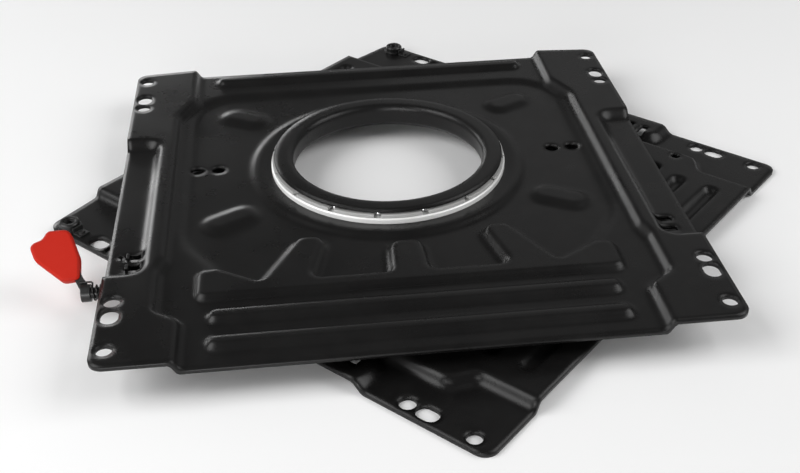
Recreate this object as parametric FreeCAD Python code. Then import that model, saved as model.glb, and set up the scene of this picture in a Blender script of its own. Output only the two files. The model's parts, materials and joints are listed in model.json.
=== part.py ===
import FreeCAD, Part
import math
import os

# Swivel seat base: two pressed steel plates turn on each other on a central double-row ball bearing.
# The base plate bolts to the pedestal and the seat plate carries the seat rails.
# A sprung lever under the seat plate's left edge lifts a pawl out of two slots in the base plate.
#
# Row frame: X across the base plate, Y towards its back edge, Z up, millimetres. The origin is the
# centre of the base plate's bolt pattern, on the face that lies on the pedestal.
# Both plates are the same pressing, and the base plate is that pressing turned over.
# Each plate is drawn about the swivel axis with its wings up, and placed at the end.

# Sheet and outline
SHEET = 3.0
TOTAL_HEIGHT = 32.0
PLATE_HALF_WIDTH = 215.0
PLATE_FRONT = -248.0
PLATE_BACK = 177.0
WING_SETBACK = 5.0
WING_BACK = PLATE_BACK - WING_SETBACK
PLATE_CORNER_RADIUS = 10.0
OPEN_ANGLE = -45.5

# Bolt holes, counted from the plate's edges
BOLT_HOLE_D = 11.0
BOLT_SIDE_EDGE = 9.4
BOLT_FRONT_EDGE = 17.0
BOLT_BACK_EDGE = 15.0
BOLT_HOLE_X = PLATE_HALF_WIDTH - BOLT_SIDE_EDGE
FRONT_BOLT_Y = PLATE_FRONT + BOLT_FRONT_EDGE
BACK_BOLT_Y = WING_BACK - BOLT_BACK_EDGE
PATTERN_Y = (FRONT_BOLT_Y + BACK_BOLT_Y) / 2
BOLT_HOLE_SPREAD = (BACK_BOLT_Y - FRONT_BOLT_Y) / 2
SLOT_STEP = 35.8
SLOT_SPREAD = BOLT_HOLE_SPREAD - SLOT_STEP
SLOT_WIDTH = 12.5
SLOT_LENGTH = 17.0
SECOND_HOLE_STEP = 15.9
SECOND_HOLE_SPREAD = SLOT_SPREAD - SECOND_HOLE_STEP
SECOND_HOLE_D = 12.0

# Levels of the pressing, counted from the wing down
WING_RISE = 7.5
TRAY_DEPTH = 3.0
POCKET_DEPTH = 7.0
RIB_RISE = 4.0
GUSSET_RISE = 2.8
LEVELS = {
    "wing": TOTAL_HEIGHT,
    "frame": TOTAL_HEIGHT - WING_RISE,
    "tray": TOTAL_HEIGHT - WING_RISE - TRAY_DEPTH,
    "pocket": TOTAL_HEIGHT - POCKET_DEPTH,
}

# Plan of the pressed forms, at the middle of their sloping walls
WING_RUN = 5.0
WING_END_WIDTH = 55.0
WING_WAIST_WIDTH = 41.5
WING_JOG_WIDTH = 37.5
WING_JOG_RUN = 14.0
WING_TURN_RUN = 12.5
WING_INNER_X = PLATE_HALF_WIDTH - WING_END_WIDTH
WING_WAIST_X = PLATE_HALF_WIDTH - WING_WAIST_WIDTH
WING_JOG_X = PLATE_HALF_WIDTH - WING_JOG_WIDTH
WING_BACK_TURN_Y = BACK_BOLT_Y - 39.0
WING_WAIST_Y = WING_BACK_TURN_Y - 30.0
WING_JOG_Y = FRONT_BOLT_Y + 103.0
WING_FRONT_TURN_Y = FRONT_BOLT_Y + 29.0
WING_BEND_R = 20.0
WING_JOG_R = 8.0
POCKET_RUN = 8.0
POCKET_WIDTH = 26.5
POCKET_LENGTH = 190.0
POCKET_CORNER_R = 11.0
POCKET_INNER_X = PLATE_HALF_WIDTH - POCKET_WIDTH
POCKET_FRONT_Y = FRONT_BOLT_Y + 86.0
POCKET_BACK_Y = POCKET_FRONT_Y + POCKET_LENGTH
COMB_FRONT_Y = PLATE_FRONT + 71.0
TRAY_RUN = 9.0
TRAY_SIDE_WIDTH = 51.0
TRAY_HALF_WIDTH = PLATE_HALF_WIDTH - TRAY_SIDE_WIDTH
TRAY_FRONT_HALF = TRAY_HALF_WIDTH - 46.0
TRAY_BACK_Y = PLATE_BACK - 44.5
TRAY_SHOULDER_Y = COMB_FRONT_Y + 77.0
TRAY_FRONT_Y = COMB_FRONT_Y + 8.0
TRAY_BACK_R = 40.0
TRAY_SHOULDER_R = 60.0
TRAY_FRONT_R = 50.0
TRAY_HOLE_XS = (TRAY_HALF_WIDTH - 25.0, TRAY_HALF_WIDTH - 8.0)
TRAY_HOLE_Y = 6.5
RIB_RUN = 4.0
RIB_WIDTH = 12.0
RIB_HALF_LENGTH = WING_INNER_X - 19.0
RIB_YS = (PLATE_BACK - 15.5, PLATE_FRONT + 52.5, PLATE_FRONT + 24.0)
COMB_RUN = 5.0
COMB_HALF_LENGTH = WING_INNER_X - 9.0
COMB_VALLEY_Y = COMB_FRONT_Y + 16.0
COMB_HORN_Y = COMB_FRONT_Y + 35.5
COMB_HORN_WIDTH = 15.0
COMB_HORN_SLOPE = 2.0
COMB_END_R = 7.0
FINGER_TIP_Y = COMB_FRONT_Y + 67.0
FINGER_TIP_X = 67.5
FINGER_TIP_HALF = 10.5
FINGER_TIP_R = 8.5
FINGER_ROOT_INNER_X = 70.0
FINGER_ROOT_OUTER_X = 106.0
FINGER_ROOT_R = 5.0
MIDDLE_FINGER_TIP_Y = COMB_FRONT_Y + 54.0
MIDDLE_FINGER_HALF = 12.0
MIDDLE_FINGER_FLARE = 2.0
GUSSET_WIDTH = 22.0
GUSSET_RUN = 8.0
GUSSETS = (
    # centre x, centre y, length, angle from X
    (TRAY_HALF_WIDTH - 47.0, 92.0, 40.0, 28.0),
    (TRAY_HALF_WIDTH - 36.0, -72.0, 42.0, -29.5),
)
CATCH_SLOT_INSET = 19.5
CATCH_SLOT_X = PLATE_HALF_WIDTH - CATCH_SLOT_INSET
CATCH_SLOT_YS = (POCKET_FRONT_Y + 27.5, POCKET_FRONT_Y + 14.0)
CATCH_SLOT_LENGTH = 14.0
CATCH_SLOT_WIDTH = 6.5
CATCH_SLOT_CORNER = 1.0
LOOM_HOLE_D = 8.0
LOOM_HOLE_POS = (PLATE_HALF_WIDTH - 45.0, FRONT_BOLT_Y + 55.0)

# Bearing: radii from the swivel axis, from the neck outwards
NECK_INNER_R = 77.5
NECK_OUTER_R = NECK_INNER_R + SHEET
FLANGE_GAP = 3.6
FLANGE_INNER_R = NECK_OUTER_R + FLANGE_GAP
BALL_D = 4.76
BALL_CLEARANCE = 0.03
BALL_COUNT = 16
BALL_INSET = 4.65
BALL_CIRCLE_R = FLANGE_INNER_R + BALL_INSET
BALL_SIDES = 8
LIP_REACH = 4.45
LIP_OUTER_R = BALL_CIRCLE_R + LIP_REACH
LIP_BEND = 3.5
LIP_EDGE_BEVEL = 1.1
GROOVE_DEPTH = 0.4
GROOVE_FLOOR_HALF = 0.7
GROOVE_MOUTH_HALF = 1.45
RING_REACH = 6.85
RING_OUTER_R = BALL_CIRCLE_R + RING_REACH
RING_THICKNESS = 3.9
RING_WALL = 1.8
RING_BEVEL = 0.9
RING_INNER_LAND = 0.6
RING_SHOULDER = 0.45
FLANGE_LAND = 1.4
FLANGE_START_R = RING_OUTER_R + FLANGE_LAND
FLANGE_RISE = 1.7
FLANGE_TOP = LEVELS["tray"] + FLANGE_RISE
BEAD_INNER_RUN = 8.0
BEAD_CREST_WIDTH = 3.5
BEAD_OUTER_RUN = 5.5
BEAD_RISE = 2.8
BEAD_CREST_R = FLANGE_START_R + BEAD_INNER_RUN
BEAD_FOOT_R = BEAD_CREST_R + BEAD_CREST_WIDTH + BEAD_OUTER_RUN
TRACK_GAP = 3.5
TRACK_INNER_R = NECK_OUTER_R + TRACK_GAP
TRACK_OUTER_R = FLANGE_START_R + 6.0
TRACK_ROOT_EASE = 1.8
CAGE_THICKNESS = 2.4
CAGE_CLEARANCE = 0.25
CAGE_STEP = 1.0
CAGE_NECK_GAP = 3.1
CAGE_INNER_R = NECK_OUTER_R + CAGE_NECK_GAP
CAGE_OUTER_R = RING_OUTER_R - CAGE_STEP

# Corner nuts on the base plate
NUT_FLANGE_D = 18.6
NUT_FLANGE_HEIGHT = 2.0
NUT_BODY_D = 16.0
NUT_HEIGHT = 6.6
NUT_BEVEL = 1.0
NUT_BORE_D = 10.2
TAB_GAP = 0.05
TAB_WIDTH = 9.0
TAB_THICKNESS = 1.2
TAB_HEIGHT = 5.0
TAB_FOOT = 9.0
TAB_STUD_D = 4.8
TAB_STUD_HEIGHT = 2.6

# Release lever, in the seat plate's own frame
POCKET_UNDERSIDE = LEVELS["pocket"] - SHEET
SHAFT_D = 8.0
SHAFT_Y = POCKET_FRONT_Y - 2.0
SHAFT_DROP = 4.4
SHAFT_Z = POCKET_UNDERSIDE - SHAFT_DROP
SHAFT_INNER_REACH = 10.0
SHAFT_INNER_X = -CATCH_SLOT_X + SHAFT_INNER_REACH
SHAFT_OUTER_REACH = 16.0
SHAFT_OUTER_X = -PLATE_HALF_WIDTH - SHAFT_OUTER_REACH
SHAFT_CHAMFER = 0.8
SHAFT_FIT = 0.05
BORE_D = SHAFT_D + 2 * SHAFT_FIT
BRACKET_SHEET = 2.0
BRACKET_GAP = 8.8
BRACKET_BACK_Y = SHAFT_Y + 38.0
BRACKET_FRONT_Y = SHAFT_Y - 5.5
BRACKET_BOTTOM = SHAFT_Z - 5.4
BRACKET_NOSE_TOP = SHAFT_Z + 6.2
BRACKET_NOSE_BEVEL = 1.5
BRACKET_BACK_HEIGHT = 4.0
BRACKET_KNEE_Y = SHAFT_Y + 6.0
TONGUE_WIDTH = 5.5
TONGUE_RISE = 1.6
PAWL_SIDE_CLEARANCE = 0.4
PAWL_HUB_D = SHAFT_D + 3.5
PAWL_THICKNESS = 2.5
PAWL_RIDE_GAP = 0.6
PAWL_TOOTH_DROP = 4.0
PAWL_TOOTH_WIDTH = 4.5
PAWL_END_LAND = 0.5
PAWL_PIN_D = 2.5
SPRING_WIRE_D = 1.4
SPRING_INNER_D = SHAFT_D + 1.0
SPRING_TURNS = 5.5
SPRING_PITCH = 2.8
SPRING_STEPS = 12
SPRING_SIDES = 8
SPRING_START_X = -PLATE_HALF_WIDTH + 7.0
SPRING_HOLE_POS = (-PLATE_HALF_WIDTH + 9.0, SHAFT_Y + 30.5)
SPRING_HOLE_D = 3.6
SPRING_END_RISE = 2.2
SPRING_LEG_REACH = 4.2
SPRING_LEG_LENGTH = 9.0
SPRING_LEG_DROP = 4.0
SPRING_LEG_GAP = 0.08
END_PLAY = 0.1
WASHER_D = SHAFT_D + 4.0
WASHER_THICKNESS = 1.0
CLIP_D = SHAFT_D + 4.4
CLIP_THICKNESS = 1.0
CLIP_GROOVE_D = SHAFT_D - 1.6
CLIP_OPENING = CLIP_GROOVE_D - 0.8
BOSS_D = SHAFT_D + 4.4
BOSS_LENGTH = 6.0
BOSS_LIP = 0.5
ARM_THICKNESS = 4.0
GRIP_THICKNESS = 8.5
GRIP_BEVEL = 1.4
LEVER_LEAN = 36.0

# Lever outlines in its own leaning plane: sideways and upwards from the shaft's axis
LEVER_ORIGIN_X = -PLATE_HALF_WIDTH - 9.0
ARM_OUTLINE = (
    (-7.4, -2.0, 1.5), (-1.6, -2.0, 1.5), (-1.6, 4.0, 1.5), (-6.6, 11.5, 3.0),
    (-15.0, 31.0, 2.5), (-22.0, 28.0, 2.5), (-12.4, 10.5, 4.0), (-9.4, 4.0, 2.0),
)
GRIP_OUTLINE = (
    (-8.4, 9.8, 3.0), (-8.2, 26.0, 13.0), (-15.5, 48.0, 7.0), (-31.0, 47.5, 4.5),
    (-34.6, 41.4, 6.0), (-43.8, 37.8, 4.5), (-39.8, 26.2, 8.0), (-20.0, 8.8, 6.0),
)

OVERRUN = 40.0
DEEP = 60.0
BEND_EASE_RUN = 0.36
BEND_EASE_RISE = 0.16
CHORD_SAG = 0.25
MIN_CORNER_R = 0.3


def vector(x, y, z=0.0):
    return FreeCAD.Vector(x, y, z)


def corner_arcs(corners, inset, height):
    """Arc (centre, start, signed turn) of each corner (x, y, radius) of an outline moved inwards."""
    count = len(corners)
    sides = []
    for index in range(count):
        x1, y1, _ = corners[index]
        x2, y2, _ = corners[(index + 1) % count]
        length = math.hypot(x2 - x1, y2 - y1)
        dx, dy = (x2 - x1) / length, (y2 - y1) / length
        sides.append((x1 - dy * inset, y1 + dx * inset, dx, dy))
    arcs = []
    for index in range(count):
        ax, ay, adx, ady = sides[index - 1]
        bx, by, bdx, bdy = sides[index]
        cross = adx * bdy - ady * bdx
        along = ((bx - ax) * bdy - (by - ay) * bdx) / cross
        corner = vector(ax + adx * along, ay + ady * along, height)
        turn = math.acos(max(-1.0, min(1.0, adx * bdx + ady * bdy)))
        side = 1.0 if cross > 0 else -1.0
        radius = max(corners[index][2] - side * inset, MIN_CORNER_R)
        start = corner - vector(adx, ady) * (radius * math.tan(turn / 2))
        arcs.append((start + vector(-ady, adx) * (radius * side), start, turn * side))
    return arcs


def along_arc(arc, share):
    """Point on an arc, at a share of its turn."""
    centre, start, turn = arc
    spoke = start - centre
    cos_t, sin_t = math.cos(turn * share), math.sin(turn * share)
    return centre + vector(spoke.x * cos_t - spoke.y * sin_t, spoke.x * sin_t + spoke.y * cos_t)


def rounded_outline(corners, inset, height):
    """Closed wire through rounded corners (x, y, radius), counter-clockwise, moved inwards by inset."""
    arcs = corner_arcs(corners, inset, height)
    edges = []
    for index, arc in enumerate(arcs):
        end = along_arc(arc, 1.0)
        edges.append(Part.Arc(arc[1], along_arc(arc, 0.5), end).toShape())
        edges.append(Part.LineSegment(end, arcs[(index + 1) % len(arcs)][1]).toShape())
    return Part.Wire(edges)


def stepped_outline(corners, inset, height):
    """Points of the same outline with its corners in chords, as many for every inset of a form."""
    points = []
    for corner, arc in zip(corners, corner_arcs(corners, inset, height)):
        chord_turn = 2 * math.acos(1 - CHORD_SAG / corner[2])
        chords = math.ceil(abs(arc[2]) / chord_turn)
        for step in range(chords + 1):
            points.append(along_arc(arc, step / chords))
    return points


def flat_face(points):
    return Part.Face(Part.makePolygon(list(points) + [points[0]]))


def stacked(levels):
    """Solid with flat faces through closed outlines of the same number of points, from one end up."""
    faces = [flat_face(levels[0]), flat_face(levels[-1])]
    count = len(levels[0])
    for lower, upper in zip(levels, levels[1:]):
        for index in range(count):
            other = (index + 1) % count
            faces.append(flat_face((lower[index], lower[other], upper[other], upper[index])))
    shell = Part.makeShell(faces)
    shell.sewShape()
    solid = Part.makeSolid(shell)
    if solid.Volume < 0:
        solid.reverse()
    return solid


def skin_shift(rise, run, skin):
    """Sideways shift that keeps the sheet's thickness on a sloping wall."""
    return skin * math.tan(math.atan2(rise, run) / 2)


def wall_steps(rise, run):
    """Inset and height at the bends of a wall: an easy slope, the steep part, and an easy slope."""
    half = run / 2
    ease_run, ease_rise = BEND_EASE_RUN * run, BEND_EASE_RISE * rise
    return (
        (-half - ease_run / 2, 0.0),
        (-half + ease_run / 2, ease_rise),
        (half - ease_run / 2, rise - ease_rise),
        (half + ease_run / 2, rise),
    )


def raised_form(corners, level, rise, run, skin):
    """Solid of a form pressed up from level, for the skin that lies skin below the top one."""
    shift = skin_shift(rise, run, skin)
    steps = wall_steps(rise, run)
    levels = [stepped_outline(corners, shift + steps[0][0], level - skin - SHEET / 2)]
    for inset, height in steps:
        levels.append(stepped_outline(corners, shift + inset, level - skin + height))
    return stacked(levels)


def sunk_form(corners, level, depth, run, skin):
    """Solid to cut for a form pressed down from level."""
    shift = skin_shift(depth, run, skin)
    steps = wall_steps(depth, run)
    levels = [stepped_outline(corners, steps[0][0] - shift, level - skin + SHEET / 2)]
    for inset, height in steps:
        levels.append(stepped_outline(corners, inset - shift, level - skin - height))
    return stacked(levels)


def mirrored(corners):
    """The same outline on the other side, still counter-clockwise."""
    return [(-x, y, radius) for x, y, radius in reversed(corners)]


def bar_outline(cx, cy, length, width, angle=0.0):
    """Corners of a straight rib with round ends."""
    radius = width / 2 - 1.0
    cos_a, sin_a = math.cos(math.radians(angle)), math.sin(math.radians(angle))
    corners = []
    for sx, sy in ((-1, -1), (1, -1), (1, 1), (-1, 1)):
        x, y = sx * length / 2, sy * width / 2
        corners.append((cx + x * cos_a - y * sin_a, cy + x * sin_a + y * cos_a, radius))
    return corners


def wing_outline():
    front = PLATE_FRONT - OVERRUN
    back = PLATE_BACK + OVERRUN
    outer = PLATE_HALF_WIDTH + OVERRUN
    return [
        (WING_INNER_X, front, WING_BEND_R),
        (outer, front, WING_BEND_R),
        (outer, back, WING_BEND_R),
        (WING_INNER_X, back, WING_BEND_R),
        (WING_INNER_X, WING_BACK_TURN_Y, WING_BEND_R),
        (WING_WAIST_X, WING_WAIST_Y, WING_BEND_R),
        (WING_WAIST_X, WING_JOG_Y, WING_JOG_R),
        (WING_JOG_X, WING_JOG_Y - WING_JOG_RUN, WING_JOG_R),
        (WING_JOG_X, WING_FRONT_TURN_Y + WING_TURN_RUN, WING_JOG_R),
        (WING_INNER_X, WING_FRONT_TURN_Y, WING_JOG_R),
    ]


def pocket_outline():
    outer = PLATE_HALF_WIDTH + OVERRUN
    return [
        (POCKET_INNER_X, POCKET_FRONT_Y, POCKET_CORNER_R),
        (outer, POCKET_FRONT_Y, POCKET_CORNER_R),
        (outer, POCKET_BACK_Y, POCKET_CORNER_R),
        (POCKET_INNER_X, POCKET_BACK_Y, POCKET_CORNER_R),
    ]


def tray_outline():
    return [
        (-TRAY_FRONT_HALF, TRAY_FRONT_Y, TRAY_FRONT_R),
        (TRAY_FRONT_HALF, TRAY_FRONT_Y, TRAY_FRONT_R),
        (TRAY_HALF_WIDTH, TRAY_SHOULDER_Y, TRAY_SHOULDER_R),
        (TRAY_HALF_WIDTH, TRAY_BACK_Y, TRAY_BACK_R),
        (-TRAY_HALF_WIDTH, TRAY_BACK_Y, TRAY_BACK_R),
        (-TRAY_HALF_WIDTH, TRAY_SHOULDER_Y, TRAY_SHOULDER_R),
    ]


def comb_outline():
    """The wide front rib, with three fingers towards the bearing and a horn at each end."""
    right = [
        (COMB_HALF_LENGTH, COMB_FRONT_Y, COMB_END_R),
        (COMB_HALF_LENGTH, COMB_HORN_Y - COMB_HORN_SLOPE, COMB_END_R),
        (COMB_HALF_LENGTH - COMB_HORN_WIDTH, COMB_HORN_Y, COMB_END_R),
        (FINGER_ROOT_OUTER_X, COMB_VALLEY_Y, FINGER_ROOT_R),
        (FINGER_TIP_X + FINGER_TIP_HALF, FINGER_TIP_Y, FINGER_TIP_R),
        (FINGER_TIP_X - FINGER_TIP_HALF, FINGER_TIP_Y, FINGER_TIP_R),
        (FINGER_ROOT_INNER_X, COMB_VALLEY_Y, FINGER_ROOT_R),
        (MIDDLE_FINGER_HALF + MIDDLE_FINGER_FLARE, COMB_VALLEY_Y, FINGER_ROOT_R),
        (MIDDLE_FINGER_HALF, MIDDLE_FINGER_TIP_Y, FINGER_TIP_R),
    ]
    return right + mirrored(right)


def plate_outline(inset=0.0):
    """Outline of the blank, with its back edge a little forward at the wings."""
    radius = PLATE_CORNER_RADIUS
    corners = [
        (-PLATE_HALF_WIDTH, PLATE_FRONT, radius),
        (PLATE_HALF_WIDTH, PLATE_FRONT, radius),
        (PLATE_HALF_WIDTH, WING_BACK, radius),
        (WING_INNER_X, PLATE_BACK, radius),
        (-WING_INNER_X, PLATE_BACK, radius),
        (-PLATE_HALF_WIDTH, WING_BACK, radius),
    ]
    return rounded_outline(corners, inset, -DEEP)


def skin_volume(skin):
    """Everything under the pressing's top skin, or under the face that lies skin below it."""
    frame = LEVELS["frame"]
    width = 2 * (PLATE_HALF_WIDTH + OVERRUN / 2)
    depth = PLATE_BACK - PLATE_FRONT + OVERRUN
    corner = vector(-width / 2, PLATE_FRONT - OVERRUN / 2, -DEEP)
    body = Part.makeBox(width, depth, DEEP + frame - skin, corner)
    body = body.cut(sunk_form(tray_outline(), frame, TRAY_DEPTH, TRAY_RUN, skin))
    raised = []
    for outline in (wing_outline(), mirrored(wing_outline())):
        raised.append(raised_form(outline, frame, WING_RISE, WING_RUN, skin))
    rib_length = 2 * RIB_HALF_LENGTH
    for y in RIB_YS:
        outline = bar_outline(0.0, y, rib_length, RIB_WIDTH)
        raised.append(raised_form(outline, frame, RIB_RISE, RIB_RUN, skin))
    comb_rise = RIB_RISE + TRAY_DEPTH
    raised.append(raised_form(comb_outline(), LEVELS["tray"], comb_rise, COMB_RUN, skin))
    for x, y, length, angle in GUSSETS:
        outline = bar_outline(x, y, length, GUSSET_WIDTH, angle)
        for corners in (outline, mirrored(outline)):
            raised.append(raised_form(corners, LEVELS["tray"], GUSSET_RISE, GUSSET_RUN, skin))
    body = body.fuse(raised)
    for outline in (pocket_outline(), mirrored(pocket_outline())):
        body = body.cut(sunk_form(outline, LEVELS["wing"], POCKET_DEPTH, POCKET_RUN, skin))
    return body


def upright_hole(x, y, diameter):
    return Part.makeCylinder(diameter / 2, 2 * DEEP, vector(x, y, -DEEP))


def upright_slot(x, y, length, width):
    """Slot with round ends along Y, length end to end."""
    reach = (length - width) / 2
    ends = [upright_hole(x, y - reach, width), upright_hole(x, y + reach, width)]
    middle = Part.makeBox(width, 2 * reach, 2 * DEEP, vector(x - width / 2, y - reach, -DEEP))
    return middle.fuse(ends)


def punched_slot(x, y):
    """Catch slot, longer across the plate, with small corner radii."""
    half_x, half_y = CATCH_SLOT_LENGTH / 2, CATCH_SLOT_WIDTH / 2
    corners = [
        (x - half_x, y - half_y, CATCH_SLOT_CORNER), (x + half_x, y - half_y, CATCH_SLOT_CORNER),
        (x + half_x, y + half_y, CATCH_SLOT_CORNER), (x - half_x, y + half_y, CATCH_SLOT_CORNER),
    ]
    return Part.Face(rounded_outline(corners, 0.0, -DEEP)).extrude(vector(0, 0, 2 * DEEP))


def plate_holes():
    """Holes that both plates have."""
    cutters = []
    for side in (-1, 1):
        x = side * BOLT_HOLE_X
        for end in (-1, 1):
            cutters.append(upright_hole(x, PATTERN_Y + end * BOLT_HOLE_SPREAD, BOLT_HOLE_D))
            slot_y = PATTERN_Y + end * SLOT_SPREAD
            cutters.append(upright_slot(x, slot_y, SLOT_LENGTH, SLOT_WIDTH))
            second_y = PATTERN_Y + end * SECOND_HOLE_SPREAD
            cutters.append(upright_hole(x, second_y, SECOND_HOLE_D))
        for hole_x in TRAY_HOLE_XS:
            cutters.append(upright_hole(side * hole_x, TRAY_HOLE_Y, BOLT_HOLE_D))
        for slot_y in CATCH_SLOT_YS:
            slot_x = side * CATCH_SLOT_X
            cutters.append(punched_slot(slot_x, slot_y))
    return cutters


def pressing():
    """The common pressing, wings up, with the centre left open for the bearing form."""
    blank = Part.Face(plate_outline()).extrude(vector(0, 0, 2 * DEEP + TOTAL_HEIGHT))
    sheet = skin_volume(0.0).cut(skin_volume(SHEET)).common(blank)
    sheet = sheet.cut(upright_hole(0.0, 0.0, 2 * BEAD_FOOT_R))
    return sheet.cut(plate_holes())


def turned(points):
    """Solid of revolution about the swivel axis from a closed run of (radius, height) points."""
    face = flat_face([vector(radius, 0.0, height) for radius, height in points])
    return face.revolve(vector(0, 0, 0), vector(0, 0, 1), 360.0)


def groove(ball_z, side):
    """Ring to cut for a ball groove, below the balls (side -1) or above them (side 1)."""
    floor_z = ball_z + side * BALL_D / 2
    mouth_z = floor_z - side * GROOVE_DEPTH
    open_z = mouth_z - side * GROOVE_DEPTH
    return turned((
        (BALL_CIRCLE_R - GROOVE_FLOOR_HALF, floor_z),
        (BALL_CIRCLE_R + GROOVE_FLOOR_HALF, floor_z),
        (BALL_CIRCLE_R + GROOVE_MOUTH_HALF, mouth_z),
        (BALL_CIRCLE_R + GROOVE_MOUTH_HALF, open_z),
        (BALL_CIRCLE_R - GROOVE_MOUTH_HALF, open_z),
        (BALL_CIRCLE_R - GROOVE_MOUTH_HALF, mouth_z),
    ))


def lower_ball_z():
    return FLANGE_TOP - SHEET + GROOVE_DEPTH - BALL_D / 2


def upper_ball_z():
    return FLANGE_TOP + RING_THICKNESS - GROOVE_DEPTH + BALL_D / 2


def lip_underside():
    return upper_ball_z() + BALL_D / 2 - GROOVE_DEPTH


def track_top():
    return lower_ball_z() - BALL_D / 2 + GROOVE_DEPTH


def seat_plate():
    """Upper pressing: the bead round the bearing falls to a flat flange between the ball rows."""
    tray = LEVELS["tray"]
    crest = tray + BEAD_RISE
    crest_end_r = BEAD_CREST_R + BEAD_CREST_WIDTH
    inner_shift = skin_shift(crest - FLANGE_TOP, BEAD_INNER_RUN, SHEET)
    outer_shift = skin_shift(BEAD_RISE, BEAD_OUTER_RUN, SHEET)
    centre = turned((
        (FLANGE_INNER_R, FLANGE_TOP),
        (FLANGE_START_R, FLANGE_TOP),
        (BEAD_CREST_R, crest),
        (crest_end_r, crest),
        (BEAD_FOOT_R, tray),
        (BEAD_FOOT_R, tray - SHEET),
        (BEAD_FOOT_R - outer_shift, tray - SHEET),
        (crest_end_r - outer_shift, crest - SHEET),
        (BEAD_CREST_R + inner_shift, crest - SHEET),
        (FLANGE_START_R + inner_shift, FLANGE_TOP - SHEET),
        (FLANGE_INNER_R, FLANGE_TOP - SHEET),
    ))
    centre = centre.cut(groove(lower_ball_z(), 1))
    plate = pressing().fuse(centre).removeSplitter()
    return plate.cut(upright_hole(SPRING_HOLE_POS[0], SPRING_HOLE_POS[1], SPRING_HOLE_D))


def base_plate():
    """Lower pressing, turned over: a ball track, and a neck rolled outwards over the upper balls."""
    sheet = pressing().mirror(vector(0, 0, TOTAL_HEIGHT / 2), vector(0, 0, 1))
    tray = TOTAL_HEIGHT - LEVELS["tray"] + SHEET
    track = track_top()
    root_top = track + TRACK_GAP
    lip_low = lip_underside()
    lip_top = lip_low + SHEET
    turn = LIP_BEND * (1 - math.sqrt(0.5))
    shift = skin_shift(track - tray, BEAD_FOOT_R - TRACK_OUTER_R, SHEET)
    centre = turned((
        (BEAD_FOOT_R, tray),
        (TRACK_OUTER_R, track),
        (TRACK_INNER_R, track),
        (NECK_OUTER_R, root_top),
        (NECK_OUTER_R, lip_low),
        (LIP_OUTER_R - LIP_EDGE_BEVEL, lip_low),
        (LIP_OUTER_R, lip_low + LIP_EDGE_BEVEL),
        (LIP_OUTER_R, lip_top - LIP_EDGE_BEVEL),
        (LIP_OUTER_R - LIP_EDGE_BEVEL, lip_top),
        (NECK_INNER_R + LIP_BEND, lip_top),
        (NECK_INNER_R + turn, lip_top - turn),
        (NECK_INNER_R, lip_top - LIP_BEND),
        (NECK_INNER_R, root_top - SHEET + TRACK_ROOT_EASE),
        (TRACK_INNER_R - TRACK_ROOT_EASE, track - SHEET),
        (TRACK_OUTER_R - shift, track - SHEET),
        (BEAD_FOOT_R - shift, tray - SHEET),
        (BEAD_FOOT_R, tray - SHEET),
    ))
    centre = centre.cut([groove(lower_ball_z(), -1), groove(upper_ball_z(), 1)])
    plate = sheet.fuse(centre).removeSplitter()
    return plate.cut(upright_hole(LOOM_HOLE_POS[0], LOOM_HOLE_POS[1], LOOM_HOLE_D))


def race_ring():
    """Plated ring on the seat plate's flange, with a low shoulder outside the ball groove."""
    inner_r = FLANGE_INNER_R + RING_INNER_LAND
    wall_inner_r = RING_OUTER_R - RING_WALL
    wall_top = FLANGE_TOP + RING_THICKNESS + RING_SHOULDER
    ring = turned((
        (inner_r, FLANGE_TOP),
        (RING_OUTER_R, FLANGE_TOP),
        (RING_OUTER_R, wall_top - RING_BEVEL),
        (RING_OUTER_R - RING_BEVEL, wall_top),
        (wall_inner_r, wall_top),
        (wall_inner_r, FLANGE_TOP + RING_THICKNESS),
        (inner_r, FLANGE_TOP + RING_THICKNESS),
    ))
    return ring.cut(groove(upper_ball_z(), -1))


def ball_angles():
    return [2 * math.pi * (index + 0.5) / BALL_COUNT for index in range(BALL_COUNT)]


def faceted_ball(centre, turn):
    """Ball with flat faces, because thirty-two round ones would outweigh all the rest in faces."""
    radius = BALL_D / 2 - BALL_CLEARANCE
    rings = []
    for latitude in (-45.0, 0.0, 45.0):
        across, up = radius * math.cos(math.radians(latitude)), radius * math.sin(math.radians(latitude))
        ring = []
        for side in range(BALL_SIDES):
            angle = turn + 2 * math.pi * side / BALL_SIDES
            ring.append(centre + vector(across * math.cos(angle), across * math.sin(angle), up))
        rings.append(ring)
    south, north = centre - vector(0, 0, radius), centre + vector(0, 0, radius)
    faces = []
    for side in range(BALL_SIDES):
        other = (side + 1) % BALL_SIDES
        faces.append(flat_face((south, rings[0][other], rings[0][side])))
        faces.append(flat_face((rings[2][side], rings[2][other], north)))
        for lower, upper in zip(rings, rings[1:]):
            faces.append(flat_face((lower[side], lower[other], upper[other], upper[side])))
    return Part.makeSolid(Part.makeShell(faces))


def balls(height):
    """One row of balls."""
    solids = []
    for angle in ball_angles():
        centre = vector(BALL_CIRCLE_R * math.cos(angle), BALL_CIRCLE_R * math.sin(angle), height)
        solids.append(faceted_ball(centre, angle))
    return Part.makeCompound(solids)


def ball_cage(height):
    """Flat ring with a pocket for each ball of a row, open outwards."""
    low = height - CAGE_THICKNESS / 2
    ring = Part.makeCylinder(CAGE_OUTER_R, CAGE_THICKNESS, vector(0, 0, low))
    ring = ring.cut(Part.makeCylinder(CAGE_INNER_R, CAGE_THICKNESS, vector(0, 0, low)))
    side = BALL_D + 2 * CAGE_CLEARANCE
    pockets = []
    for angle in ball_angles():
        pocket = Part.makeBox(OVERRUN, side, CAGE_THICKNESS, vector(BALL_CIRCLE_R - side / 2, -side / 2, low))
        pocket.rotate(vector(0, 0, 0), vector(0, 0, 1), math.degrees(angle))
        pockets.append(pocket)
    return ring.cut(pockets)


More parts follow.
